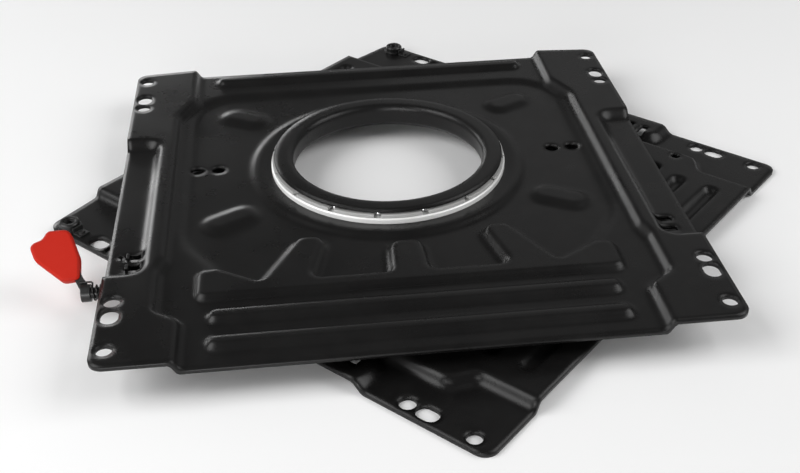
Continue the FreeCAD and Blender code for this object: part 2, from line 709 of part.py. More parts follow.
def corner_nuts():
    """Round flanged nuts over the base plate's two back bolt holes."""
    solids = []
    for side in (-1, 1):
        place = vector(side * BOLT_HOLE_X, BACK_BOLT_Y, SHEET)
        flange = Part.makeCylinder(NUT_FLANGE_D / 2, NUT_FLANGE_HEIGHT, place)
        body = Part.makeCylinder(NUT_BODY_D / 2, NUT_HEIGHT, place)
        rim = [edge for edge in body.Edges if edge.BoundBox.ZMin > SHEET + NUT_HEIGHT / 2]
        body = body.makeChamfer(NUT_BEVEL, rim)
        bore = Part.makeCylinder(NUT_BORE_D / 2, NUT_HEIGHT, place)
        solids.append(flange.fuse(body).cut(bore).removeSplitter())
    return Part.makeCompound(solids)


def nut_tabs():
    """Bent lock tabs that stand against the nuts, each held by a stud."""
    solids = []
    wall_y = BACK_BOLT_Y - NUT_FLANGE_D / 2 - TAB_GAP
    for side in (-1, 1):
        x = side * BOLT_HOLE_X
        left = x - TAB_WIDTH / 2
        foot = Part.makeBox(TAB_WIDTH, TAB_FOOT, TAB_THICKNESS, vector(left, wall_y - TAB_FOOT, SHEET))
        upright = Part.makeBox(
            TAB_WIDTH, TAB_THICKNESS, TAB_HEIGHT, vector(left, wall_y - TAB_THICKNESS, SHEET))
        stud_y = wall_y - TAB_FOOT + TAB_STUD_D / 2 + TAB_THICKNESS
        stud = Part.makeCylinder(TAB_STUD_D / 2, TAB_STUD_HEIGHT, vector(x, stud_y, SHEET))
        solids.append(foot.fuse([upright, stud]).removeSplitter())
    return Part.makeCompound(solids)


def along_x(x_low, x_high, y, z, diameter):
    return Part.makeCylinder(diameter / 2, x_high - x_low, vector(x_low, y, z), vector(1, 0, 0))


def bracket_ear_face():
    """Outer face of the bracket's inner ear, which the washer lies against."""
    return -CATCH_SLOT_X + BRACKET_GAP / 2 + BRACKET_SHEET


def latch_bracket():
    """Folded bracket under the left pocket: two ears, a back web, four tongues through the slots."""
    top = POCKET_UNDERSIDE
    half = BRACKET_GAP / 2
    web_low = top - BRACKET_BACK_HEIGHT
    profile = (
        (BRACKET_BACK_Y, top), (SHAFT_Y + SHAFT_D / 2, top), (SHAFT_Y, BRACKET_NOSE_TOP),
        (BRACKET_FRONT_Y + BRACKET_NOSE_BEVEL, BRACKET_NOSE_TOP),
        (BRACKET_FRONT_Y, BRACKET_NOSE_TOP - BRACKET_NOSE_BEVEL), (BRACKET_FRONT_Y, BRACKET_BOTTOM),
        (BRACKET_KNEE_Y, BRACKET_BOTTOM), (BRACKET_BACK_Y, web_low),
    )
    pieces = []
    for x in (-CATCH_SLOT_X - half - BRACKET_SHEET, -CATCH_SLOT_X + half):
        side = flat_face([vector(x, y, z) for y, z in profile])
        pieces.append(side.extrude(vector(BRACKET_SHEET, 0, 0)))
        for slot_y in CATCH_SLOT_YS:
            corner = vector(x, slot_y - TONGUE_WIDTH / 2, top)
            pieces.append(Part.makeBox(BRACKET_SHEET, TONGUE_WIDTH, SHEET + TONGUE_RISE, corner))
    web_corner = vector(-CATCH_SLOT_X - half, BRACKET_BACK_Y - BRACKET_SHEET, web_low)
    web = Part.makeBox(BRACKET_GAP, BRACKET_SHEET, BRACKET_BACK_HEIGHT, web_corner)
    outer_face = -CATCH_SLOT_X - half - BRACKET_SHEET
    bore = along_x(outer_face, bracket_ear_face(), SHAFT_Y, SHAFT_Z, BORE_D)
    return web.fuse(pieces).cut(bore).removeSplitter()


def shaft_washer():
    start = bracket_ear_face() + END_PLAY
    disc = along_x(start, start + WASHER_THICKNESS, SHAFT_Y, SHAFT_Z, WASHER_D)
    return disc.cut(along_x(start, start + WASHER_THICKNESS, SHAFT_Y, SHAFT_Z, BORE_D))


def clip_start():
    """Where the clip's groove begins on the shaft: past the ear and the washer."""
    return bracket_ear_face() + WASHER_THICKNESS + 2 * END_PLAY


def shaft_clip():
    """Open retaining clip in the shaft's groove."""
    start = clip_start()
    disc = along_x(start, start + CLIP_THICKNESS, SHAFT_Y, SHAFT_Z, CLIP_D)
    bore = along_x(start, start + CLIP_THICKNESS, SHAFT_Y, SHAFT_Z, CLIP_GROOVE_D)
    corner = vector(start, SHAFT_Y - CLIP_D, SHAFT_Z - CLIP_OPENING / 2)
    mouth = Part.makeBox(CLIP_THICKNESS, CLIP_D, CLIP_OPENING, corner)
    return disc.cut([bore, mouth])


def pawl_pin():
    """Pin through the pawl's hub and the shaft, which makes them turn together."""
    start = vector(-CATCH_SLOT_X, SHAFT_Y - PAWL_HUB_D / 2, SHAFT_Z)
    return Part.makeCylinder(PAWL_PIN_D / 2, PAWL_HUB_D, start, vector(0, 1, 0))


def lever_shaft():
    """Round shaft with chamfered ends and the groove for its clip."""
    shaft = along_x(SHAFT_OUTER_X, SHAFT_INNER_X, SHAFT_Y, SHAFT_Z, SHAFT_D)
    ends = [edge for edge in shaft.Edges if edge.BoundBox.XLength < SHAFT_FIT]
    shaft = shaft.makeChamfer(SHAFT_CHAMFER, ends)
    start = clip_start()
    sleeve = along_x(start, start + CLIP_THICKNESS, SHAFT_Y, SHAFT_Z, 2 * SHAFT_D)
    core = along_x(start, start + CLIP_THICKNESS, SHAFT_Y, SHAFT_Z, CLIP_GROOVE_D)
    return shaft.cut([sleeve.cut(core), pawl_pin()])


def sweep_floor():
    """Highest face of the base plate that the pawl passes over as the seat plate turns."""
    return max(WING_RISE, POCKET_DEPTH) + SHEET


def latch_pawl():
    """Hub on the shaft, and a plate with two teeth that drop into the base plate's catch slots."""
    width = BRACKET_GAP - 2 * PAWL_SIDE_CLEARANCE
    low_x = -CATCH_SLOT_X - width / 2
    hub = along_x(low_x, low_x + width, SHAFT_Y, SHAFT_Z, PAWL_HUB_D)
    tip = sweep_floor() + PAWL_RIDE_GAP
    end_y = CATCH_SLOT_YS[0] + PAWL_TOOTH_WIDTH / 2 + PAWL_END_LAND
    plate_corner = vector(low_x, SHAFT_Y, tip + PAWL_TOOTH_DROP)
    pieces = [Part.makeBox(width, end_y - SHAFT_Y, PAWL_THICKNESS, plate_corner)]
    for slot_y in CATCH_SLOT_YS:
        corner = vector(low_x, slot_y - PAWL_TOOTH_WIDTH / 2, tip)
        pieces.append(Part.makeBox(width, PAWL_TOOTH_WIDTH, PAWL_TOOTH_DROP, corner))
    bore = along_x(low_x, low_x + width, SHAFT_Y, SHAFT_Z, BORE_D)
    return hub.fuse(pieces).cut([bore, pawl_pin()]).removeSplitter()


def lever_top_z(y):
    """Height of the arm's upper face above a place along Y."""
    lean = math.radians(LEVER_LEAN)
    return SHAFT_Z + (y - SHAFT_Y) * math.tan(lean) + ARM_THICKNESS / 2 / math.cos(lean)


def spring_path():
    """Points along the return spring: leg through the pocket floor, coil, leg over the lever's arm."""
    mean_r = (SPRING_INNER_D + SPRING_WIRE_D) / 2
    hole_x, hole_y = SPRING_HOLE_POS
    points = [
        vector(hole_x, hole_y, LEVELS["pocket"] + SPRING_END_RISE),
        vector(hole_x, hole_y, POCKET_UNDERSIDE - SPRING_LEG_DROP),
    ]
    for step in range(round(SPRING_TURNS * SPRING_STEPS) + 1):
        angle = 2 * math.pi * step / SPRING_STEPS
        x = SPRING_START_X - SPRING_PITCH * step / SPRING_STEPS
        y = SHAFT_Y - mean_r * math.sin(angle)
        points.append(vector(x, y, SHAFT_Z - mean_r * math.cos(angle)))
    over_y = SHAFT_Y + SPRING_LEG_REACH
    rise = (SPRING_WIRE_D / 2 + SPRING_LEG_GAP) / math.cos(math.radians(LEVER_LEAN))
    over_z = lever_top_z(over_y) + rise
    points.append(vector(points[-1].x, over_y, over_z))
    points.append(vector(LEVER_ORIGIN_X - SPRING_LEG_LENGTH, over_y, over_z))
    return points


def return_spring():
    """Torsion spring round the shaft, a wire with flat sides swept along its path."""
    points = spring_path()
    rim = []
    for side in range(SPRING_SIDES + 1):
        angle = 2 * math.pi * side / SPRING_SIDES
        across = vector(math.cos(angle), math.sin(angle)) * (SPRING_WIRE_D / 2)
        rim.append(points[0] + across)
    return Part.makePolygon(points).makePipeShell([Part.makePolygon(rim)], True, False, 1)


def lever_plane(shape):
    """From the lever's own plane to its place on the shaft."""
    placed = shape.copy()
    placed.rotate(vector(0, 0, 0), vector(1, 0, 0), LEVER_LEAN)
    placed.translate(vector(LEVER_ORIGIN_X, SHAFT_Y, SHAFT_Z))
    return placed


def slab_from_outline(corners, thickness):
    """Plate of an outline, centred on its own plane."""
    face = Part.Face(rounded_outline(corners, 0.0, -thickness / 2))
    return face.extrude(vector(0, 0, thickness))


def lever_arm():
    """Boss on the shaft's outer end with a flat bar that runs up into the grip."""
    start, end = SHAFT_OUTER_X - BOSS_LIP, SHAFT_OUTER_X + BOSS_LENGTH
    boss = along_x(start, end, SHAFT_Y, SHAFT_Z, BOSS_D)
    bar = lever_plane(slab_from_outline(ARM_OUTLINE, ARM_THICKNESS))
    bore = along_x(start - BOSS_D, end + BOSS_D, SHAFT_Y, SHAFT_Z, BORE_D)
    return boss.fuse(bar).cut(bore).removeSplitter()


def lever_grip():
    """Moulded paddle with bevelled rims, pushed over the arm's bar."""
    slab = slab_from_outline(GRIP_OUTLINE, GRIP_THICKNESS)
    rims = [edge for edge in slab.Edges if edge.BoundBox.ZLength < SHAFT_FIT]
    slab = slab.makeChamfer(GRIP_BEVEL, rims)
    return lever_plane(slab).cut(lever_arm())


def place_base(shape):
    """From the swivel axis to the row frame."""
    placed = shape.copy()
    placed.translate(vector(0, -PATTERN_Y, 0))
    return placed


def place_seat(shape):
    """The seat plate stands turned on the base plate, as it does when it is unlocked."""
    placed = shape.copy()
    placed.rotate(vector(0, 0, 0), vector(0, 0, 1), OPEN_ANGLE)
    return place_base(placed)


def main():
    os.makedirs("parts", exist_ok=True)
    nodes = {
        "base_plate": place_base(base_plate()),
        "seat_plate": place_seat(seat_plate()),
        "upper_race_ring": place_seat(race_ring()),
        "lower_balls": place_base(balls(lower_ball_z())),
        "upper_balls": place_base(balls(upper_ball_z())),
        "lower_ball_cage": place_base(ball_cage(lower_ball_z())),
        "upper_ball_cage": place_base(ball_cage(upper_ball_z())),
        "corner_nuts": place_base(corner_nuts()),
        "nut_tabs": place_base(nut_tabs()),
        "latch_bracket": place_seat(latch_bracket()),
        "lever_shaft": place_seat(lever_shaft()),
        "shaft_washer": place_seat(shaft_washer()),
        "shaft_clip": place_seat(shaft_clip()),
        "latch_pawl": place_seat(latch_pawl()),
        "pawl_pin": place_seat(pawl_pin()),
        "return_spring": place_seat(return_spring()),
        "lever_arm": place_seat(lever_arm()),
        "lever_grip": place_seat(lever_grip()),
    }
    for name, shape in nodes.items():
        shape.exportStep("parts/" + name + ".step")
        box = shape.BoundBox
        print(name, shape.isValid(), len(shape.Solids), round(shape.Volume),
              [round(v, 1) for v in (box.XMin, box.XMax, box.YMin, box.YMax, box.ZMin, box.ZMax)])


main()
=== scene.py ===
import json
import logging
import math
from dataclasses import dataclass, field
from enum import Enum

import bpy
from mathutils import Matrix, Vector


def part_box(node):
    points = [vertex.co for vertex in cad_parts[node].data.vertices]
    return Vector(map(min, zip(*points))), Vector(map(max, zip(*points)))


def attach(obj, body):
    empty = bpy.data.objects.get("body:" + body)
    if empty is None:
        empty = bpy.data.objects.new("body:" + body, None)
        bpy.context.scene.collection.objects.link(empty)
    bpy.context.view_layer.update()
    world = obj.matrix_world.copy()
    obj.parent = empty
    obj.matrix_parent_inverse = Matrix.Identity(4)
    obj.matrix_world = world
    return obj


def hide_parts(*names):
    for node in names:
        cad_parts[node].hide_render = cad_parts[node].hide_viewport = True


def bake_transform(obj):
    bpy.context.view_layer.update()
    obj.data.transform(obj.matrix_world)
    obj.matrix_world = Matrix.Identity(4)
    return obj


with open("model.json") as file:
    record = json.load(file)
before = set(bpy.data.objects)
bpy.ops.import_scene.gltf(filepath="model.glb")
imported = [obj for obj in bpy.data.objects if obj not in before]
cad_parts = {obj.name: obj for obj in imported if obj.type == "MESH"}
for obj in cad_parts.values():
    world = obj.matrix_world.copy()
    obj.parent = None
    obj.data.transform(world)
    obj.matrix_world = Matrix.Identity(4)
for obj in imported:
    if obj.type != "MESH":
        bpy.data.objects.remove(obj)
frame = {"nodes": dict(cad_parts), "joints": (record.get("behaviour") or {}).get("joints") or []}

# Swivel seat base: two black pressed plates that turn on each other, a plated race ring and two
# rows of balls between them, and a red release lever. The plates, ring, cages, nuts and the
# lever's parts are the CAD nodes with new finishes. The round balls, the round return spring and
# the nuts' threads are made here. All lengths are metres in the row frame.

LOG = logging.getLogger("swivel_seat_base")
MM = 0.001

NODE_STEP = 180.0
# Sockets of a Mix node that is set to colours.
MIX_SHARE, MIX_FIRST, MIX_SECOND, MIX_RESULT = 0, 6, 7, 2

# Limits between which a noise or a direction fades from none to full.
PATCH_LIMITS = (0.34, 0.66)
RING_PATCH_LIMITS = (0.35, 0.65)
DUST_LIMITS = (0.42, 0.72)
FACING_LIMITS = (0.55, 1.0)
EDGE_LIMITS = (0.97, 0.80)

SOFT_SAMPLES = 16
EDGE_SAMPLES = 6
PATCH_SIZE = 0.045
RING_PATCH_SCALE = 60.0
TONE_SHARE = 0.35
DUST_COLOUR = (0.30, 0.29, 0.27)


class Body(str, Enum):
    """The bodies of the frame that pieces ride on."""

    BASE = "base"
    SEAT = "seat"
    LOWER_CAGE = "lower_cage"
    UPPER_CAGE = "upper_cage"
    LEVER = "lever"


class LampRole(Enum):
    """What each studio lamp is for."""

    KEY = "key"
    LOW = "low"
    LEFT = "left"
    RIGHT = "right"
    BACK = "back"
    FRONT = "front"


class NodeSheet:
    """Adds nodes to a node tree and links their sockets."""

    def __init__(self, tree: bpy.types.NodeTree) -> None:
        """Start on an emptied tree.

        Args:
            tree: The tree to fill.
        """
        self.tree = tree
        self.tree.nodes.clear()
        self.column = 0

    def add(self, kind: str, inputs: dict | None = None, **settings: object) -> bpy.types.Node:
        """Add a node and set its sockets.

        Args:
            kind: Blender's name of the node's type.
            inputs: Socket name or index to a value or to an output socket that feeds it.
            **settings: Properties of the node itself.

        Returns:
            The new node.
        """
        node = self.tree.nodes.new(kind)
        self.column += 1
        node.location = (NODE_STEP * self.column, 0.0)
        for name, value in settings.items():
            setattr(node, name, value)
        for key, value in (inputs or {}).items():
            if isinstance(value, bpy.types.NodeSocket):
                self.tree.links.new(value, node.inputs[key])
            else:
                node.inputs[key].default_value = value
        return node

    def maths(self, operation: str, first: object, second: object = 0.0) -> bpy.types.NodeSocket:
        """Add a Math node and return its output."""
        return self.add("ShaderNodeMath", {0: first, 1: second}, operation=operation).outputs[0]

    def ramp(self, value: bpy.types.NodeSocket, low: float, high: float, to_low: float = 0.0,
             to_high: float = 1.0) -> bpy.types.NodeSocket:
        """Map a value from one range to another, held at both ends.

        Args:
            value: The socket to map.
            low: Where the first range starts.
            high: Where the first range ends.
            to_low: Result at low.
            to_high: Result at high.

        Returns:
            The mapped value's socket.
        """
        node = self.add("ShaderNodeMapRange", {
            "Value": value, "From Min": low, "From Max": high, "To Min": to_low, "To Max": to_high})
        return node.outputs["Result"]

    def blend_colour(self, share: object, first: object, second: object) -> bpy.types.NodeSocket:
        """Mix two colours.

        Args:
            share: How much of the second colour shows, as a number or a socket.
            first: The colour at share 0.
            second: The colour at share 1.

        Returns:
            The mixed colour's socket.
        """
        node = self.add("ShaderNodeMix", {MIX_SHARE: share, MIX_FIRST: first, MIX_SECOND: second},
                        data_type="RGBA")
        return node.outputs[MIX_RESULT]


def colour4(colour: tuple[float, float, float]) -> tuple[float, float, float, float]:
    """The colour with full alpha."""
    return (colour[0], colour[1], colour[2], 1.0)


def open_group(name: str, kind: str, takes: dict[str, float], gives: dict[str, str],
               path: str = "") -> NodeSheet:
    """Make a node group with named float inputs.

    Args:
        name: The group's name.
        kind: The tree's type.
        takes: Input name to its default.
        gives: Output name to its socket type.
        path: Name of a geometry input that comes first, if the group takes one.

    Returns:
        A sheet on the group's tree.
    """
    tree = bpy.data.node_groups.new(name, kind)
    if path:
        tree.interface.new_socket(path, in_out="INPUT", socket_type="NodeSocketGeometry")
    for label, default in takes.items():
        socket = tree.interface.new_socket(label, in_out="INPUT", socket_type="NodeSocketFloat")
        socket.default_value = default
    for label, socket_type in gives.items():
        tree.interface.new_socket(label, in_out="OUTPUT", socket_type=socket_type)
    return NodeSheet(tree)


class SurfaceEffects:
    """Shader node groups that several finishes share."""

    def __init__(self) -> None:
        """Build each group once."""
        self.coat_grain = self._coat_grain()
        self.rounded_edge = self._rounded_edge()
        self.settled_dust = self._settled_dust()
        self.turning_marks = self._turning_marks()

    def _coat_grain(self) -> bpy.types.NodeTree:
        """Fine texture of sprayed or moulded surfaces, and a slow variation for roughness.

        Returns:
            The group's tree.
        """
        sheet = open_group("coat_grain", "ShaderNodeTree",
                           {"Grain Size": 0.0012, "Patch Size": PATCH_SIZE},
                           {"Height": "NodeSocketFloat", "Variation": "NodeSocketFloat"})
        given = sheet.add("NodeGroupInput")
        place = sheet.add("ShaderNodeTexCoord").outputs["Object"]
        fine_scale = sheet.maths("DIVIDE", 1.0, given.outputs["Grain Size"])
        patch_scale = sheet.maths("DIVIDE", 1.0, given.outputs["Patch Size"])
        fine = sheet.add("ShaderNodeTexNoise", {
            "Vector": place, "Scale": fine_scale, "Detail": 2.0, "Roughness": 0.55})
        patch = sheet.add("ShaderNodeTexNoise", {
            "Vector": place, "Scale": patch_scale, "Detail": 5.0, "Roughness": 0.6})
        variation = sheet.ramp(patch.outputs["Fac"], *PATCH_LIMITS)
        sheet.add("NodeGroupOutput", {"Height": fine.outputs["Fac"], "Variation": variation})
        return sheet.tree

    def _rounded_edge(self) -> bpy.types.NodeTree:
        """Normal with softened creases, and a mask of the outer edges.

        Returns:
            The group's tree.
        """
        sheet = open_group("rounded_edge", "ShaderNodeTree",
                           {"Radius": 0.0015, "Edge Radius": 0.0006},
                           {"Normal": "NodeSocketVector", "Edge": "NodeSocketFloat"})
        given = sheet.add("NodeGroupInput")
        soft = sheet.add("ShaderNodeBevel", {"Radius": given.outputs["Radius"]},
                         samples=SOFT_SAMPLES)
        sharp = sheet.add("ShaderNodeBevel", {"Radius": given.outputs["Edge Radius"]},
                          samples=EDGE_SAMPLES)
        true_normal = sheet.add("ShaderNodeNewGeometry").outputs["True Normal"]
        dot = sheet.add("ShaderNodeVectorMath", {0: sharp.outputs["Normal"], 1: true_normal},
                        operation="DOT_PRODUCT").outputs["Value"]
        edge = sheet.ramp(dot, *EDGE_LIMITS)
        sheet.add("NodeGroupOutput", {"Normal": soft.outputs["Normal"], "Edge": edge})
        return sheet.tree

    def _settled_dust(self) -> bpy.types.NodeTree:
        """Mask of thin dust and wiping marks on faces that look up.

        Returns:
            The group's tree.
        """
        sheet = open_group("settled_dust", "ShaderNodeTree", {"Amount": 0.1, "Streak Size": 0.02},
                           {"Mask": "NodeSocketFloat"})
        given = sheet.add("NodeGroupInput")
        place = sheet.add("ShaderNodeTexCoord").outputs["Object"]
        up = sheet.add("ShaderNodeSeparateXYZ", {
            "Vector": sheet.add("ShaderNodeNewGeometry").outputs["Normal"]}).outputs["Z"]
        facing = sheet.ramp(up, *FACING_LIMITS)
        scale = sheet.maths("DIVIDE", 1.0, given.outputs["Streak Size"])
        cloud = sheet.add("ShaderNodeTexNoise", {
            "Vector": place, "Scale": scale, "Detail": 8.0, "Roughness": 0.7, "Distortion": 0.6})
        spread = sheet.ramp(cloud.outputs["Fac"], *DUST_LIMITS)
        lying = sheet.maths("MULTIPLY", facing, spread)
        mask = sheet.maths("MULTIPLY", lying, given.outputs["Amount"])
        sheet.add("NodeGroupOutput", {"Mask": mask})
        return sheet.tree

    def _turning_marks(self) -> bpy.types.NodeTree:
        """Fine rings about an upright axis, as a lathe or a press roller leaves them.

        Returns:
            The group's tree.
        """
        sheet = open_group("turning_marks", "ShaderNodeTree",
                           {"Centre X": 0.0, "Centre Y": 0.0, "Ring Pitch": 0.0003},
                           {"Height": "NodeSocketFloat", "Variation": "NodeSocketFloat"})
        given = sheet.add("NodeGroupInput")
        place = sheet.add("ShaderNodeTexCoord").outputs["Object"]
        centre = sheet.add("ShaderNodeCombineXYZ", {
            "X": given.outputs["Centre X"], "Y": given.outputs["Centre Y"]}).outputs["Vector"]
        offset = sheet.add("ShaderNodeVectorMath", {0: place, 1: centre},
                           operation="SUBTRACT").outputs["Vector"]
        parts = sheet.add("ShaderNodeSeparateXYZ", {"Vector": offset})
        squares = [sheet.maths("POWER", parts.outputs[axis], 2.0) for axis in ("X", "Y")]
        across = sheet.maths("SQRT", sheet.maths("ADD", *squares))
        line = sheet.add("ShaderNodeCombineXYZ", {
            "X": across, "Y": parts.outputs["Z"]}).outputs["Vector"]
        scale = sheet.maths("DIVIDE", 1.0, given.outputs["Ring Pitch"])
        rings = sheet.add("ShaderNodeTexNoise", {"Vector": line, "Scale": scale, "Detail": 3.0})
        patch = sheet.add("ShaderNodeTexNoise", {
            "Vector": place, "Scale": RING_PATCH_SCALE, "Detail": 4.0})
        variation = sheet.ramp(patch.outputs["Fac"], *RING_PATCH_LIMITS)
        sheet.add("NodeGroupOutput", {"Height": rings.outputs["Fac"], "Variation": variation})
        return sheet.tree


@dataclass(frozen=True)
class Finish:
    """A surface finish: its colours, gloss and the shared effects that it takes."""

    name: str
    colour: tuple[float, float, float]
    pale: tuple[float, float, float]
    roughness: float
    roughness_spread: float = 0.08
    metallic: float = 0.0
    specular: float = 0.5
    crease_radius: float = 0.0015
    edge_radius: float = 0.0006
    edge_share: float = 0.3
    edge_dulling: float = 0.0
    grain_size: float = 0.0012
    grain_height: float = 0.00002
    dust: float = 0.1
    ring_pitch: float = 0.0

    def _place_group(self, sheet: NodeSheet, tree: bpy.types.NodeTree,
                     values: dict[str, float]) -> bpy.types.Node:
        """Put a shared effect into the material with this finish's values.

        Args:
            sheet: The material's sheet.
            tree: The shared group.
            values: Input name to value.

        Returns:
            The group's node.
        """
        node = sheet.add("ShaderNodeGroup", node_tree=tree)
        for label, value in values.items():
            node.inputs[label].default_value = value
        return node

    def make(self, effects: SurfaceEffects, centre: Vector) -> bpy.types.Material:
        """Build the material.

        Args:
            effects: The shared node groups.
            centre: A point on the swivel axis, for turning marks.

        Returns:
            The new material.
        """
        material = bpy.data.materials.new(self.name)
        material.use_nodes = True
        sheet = NodeSheet(material.node_tree)
        grain = self._place_group(sheet, effects.coat_grain, {
            "Grain Size": self.grain_size, "Patch Size": PATCH_SIZE})
        edge = self._place_group(sheet, effects.rounded_edge, {
            "Radius": self.crease_radius, "Edge Radius": self.edge_radius})
        dust = self._place_group(sheet, effects.settled_dust, {"Amount": self.dust})
        height, variation = grain.outputs["Height"], grain.outputs["Variation"]
        if self.ring_pitch > 0.0:
            rings = self._place_group(sheet, effects.turning_marks, {
                "Centre X": centre.x, "Centre Y": centre.y, "Ring Pitch": self.ring_pitch})
            height, variation = rings.outputs["Height"], rings.outputs["Variation"]
        share = sheet.maths("MULTIPLY", variation, TONE_SHARE)
        toned = sheet.blend_colour(share, colour4(self.colour), colour4(self.pale))
        worn = sheet.maths("MULTIPLY", edge.outputs["Edge"], self.edge_share)
        rubbed = sheet.blend_colour(worn, toned, colour4(self.pale))
        dusted = sheet.blend_colour(dust.outputs["Mask"], rubbed, colour4(DUST_COLOUR))
        coated = sheet.ramp(variation, 0.0, 1.0, self.roughness - self.roughness_spread,
                            self.roughness + self.roughness_spread)
        dulled = sheet.maths("MULTIPLY", edge.outputs["Edge"], self.edge_dulling)
        roughness = sheet.maths("ADD", coated, dulled)
        bump = sheet.add("ShaderNodeBump", {
            "Height": height, "Normal": edge.outputs["Normal"], "Distance": self.grain_height,
            "Strength": 1.0})
        shader = sheet.add("ShaderNodeBsdfPrincipled", {
            "Base Color": dusted, "Roughness": roughness, "Metallic": self.metallic,
            "Specular IOR Level": self.specular, "Normal": bump.outputs["Normal"]})
        sheet.add("ShaderNodeOutputMaterial", {"Surface": shader.outputs["BSDF"]})
        return material


PAINT = Finish("black_powder_coat", (0.0058, 0.0056, 0.0056), (0.010, 0.0098, 0.0096), 0.29, 0.04,
               specular=0.27, crease_radius=0.0068, edge_share=0.10, edge_dulling=0.5,
               grain_height=0.000008, dust=0.008)
RING = Finish("zinc_plated_ring", (0.82, 0.82, 0.81), (0.88, 0.88, 0.87), 0.40, 0.07,
              metallic=0.15, crease_radius=0.0005, grain_height=0.000003, dust=0.0,
              ring_pitch=0.0004)
BALL = Finish("polished_ball", (0.72, 0.72, 0.73), (0.78, 0.78, 0.78), 0.10, 0.03,
              metallic=1.0, crease_radius=0.0001, edge_radius=0.0001, edge_share=0.0,
              grain_height=0.000001, dust=0.0)
CAGE = Finish("greased_cage", (0.60, 0.60, 0.59), (0.68, 0.68, 0.67), 0.36, 0.08,
              metallic=0.3, crease_radius=0.0003, grain_height=0.000008, dust=0.0)
NUT = Finish("dark_nut", (0.012, 0.012, 0.012), (0.05, 0.05, 0.05), 0.34, 0.08,
             metallic=0.3, crease_radius=0.0006, edge_share=0.4, grain_height=0.000008, dust=0.02)
BRACKET = Finish("dark_bracket", (0.014, 0.014, 0.014), (0.06, 0.06, 0.06), 0.38, 0.08,
                 metallic=0.3, crease_radius=0.0005, edge_share=0.4, grain_height=0.000008,
                 dust=0.01)
PAWL = Finish("hardened_pawl", (0.05, 0.05, 0.05), (0.16, 0.16, 0.16), 0.36, 0.08,
              metallic=0.8, crease_radius=0.0004, edge_share=0.4, grain_height=0.000008, dust=0.0)
SHAFT = Finish("blackened_shaft", (0.022, 0.022, 0.022), (0.07, 0.07, 0.07), 0.32, 0.08,
               metallic=0.6, crease_radius=0.0004, grain_height=0.000005, dust=0.0)
SPRING = Finish("blackened_wire", (0.020, 0.020, 0.020), (0.06, 0.06, 0.06), 0.30, 0.06,
                metallic=0.6, crease_radius=0.0002, edge_share=0.0, grain_height=0.000003,
                dust=0.0)
ARM = Finish("black_arm", (0.010, 0.010, 0.010), (0.03, 0.03, 0.03), 0.40, 0.06,
             specular=0.4, crease_radius=0.0006, grain_height=0.000010, dust=0.01)
GRIP = Finish("red_moulding", (0.41, 0.013, 0.005), (0.47, 0.021, 0.010), 0.50, 0.05,
              specular=0.12, crease_radius=0.0016, edge_share=0.12, grain_size=0.0007,
              grain_height=0.000012, dust=0.01)


@dataclass
class Workshop:
    """What every sub-assembly needs: the frame, the shared effects and the finishes made so far."""

    effects: SurfaceEffects
    axis: Vector
    made: dict[str, bpy.types.Material] = field(default_factory=dict)

    def material(self, finish: Finish) -> bpy.types.Material:
        """The material of a finish, made once."""
        if finish.name not in self.made:
            self.made[finish.name] = finish.make(self.effects, self.axis)
        return self.made[finish.name]

    def dress(self, node: str, finish: Finish) -> None:
        """Give a CAD node a finish.

        Args:
            node: The CAD node's name.
            finish: The finish for all its slots.
        """
        piece = frame["nodes"][node]
        for slot in piece.material_slots:
            slot.material = self.material(finish)
        LOG.info("dressed %s as %s", node, finish.name)

    def grow(self, name: str, tree: bpy.types.NodeTree, values: dict[str, float],
             start: bpy.types.Mesh | None = None) -> bpy.types.Object:
        """Run a Geometry Nodes tree and keep its result as a plain mesh.

        Args:
            name: The new piece's name.
            tree: The tree to run.
            values: Input name to value.
            start: The mesh that the tree gets, if it takes one.

        Returns:
            An object at the origin with the finished mesh.
        """
        piece = bpy.data.objects.new(name, start or bpy.data.meshes.new(name))
        bpy.context.scene.collection.objects.link(piece)
        modifier = piece.modifiers.new("form", "NODES")
        modifier.node_group = tree
        for item in tree.interface.items_tree:
            if item.in_out == "INPUT" and item.name in values:
                modifier[item.identifier] = values[item.name]
        bpy.context.view_layer.update()
        depsgraph = bpy.context.evaluated_depsgraph_get()
        mesh = bpy.data.meshes.new_from_object(piece.evaluated_get(depsgraph), depsgraph=depsgraph)
        piece.modifiers.clear()
        piece.data = mesh
        LOG.info("made %s with %d faces", name, len(mesh.polygons))
        return piece


@dataclass
class PressedPlates:
    """The two pressed steel plates."""

    shop: Workshop
    plates: tuple[str, str] = ("base_plate", "seat_plate")

    def build(self) -> None:
        """Paint both plates."""
        for plate in self.plates:
            self.shop.dress(plate, PAINT)


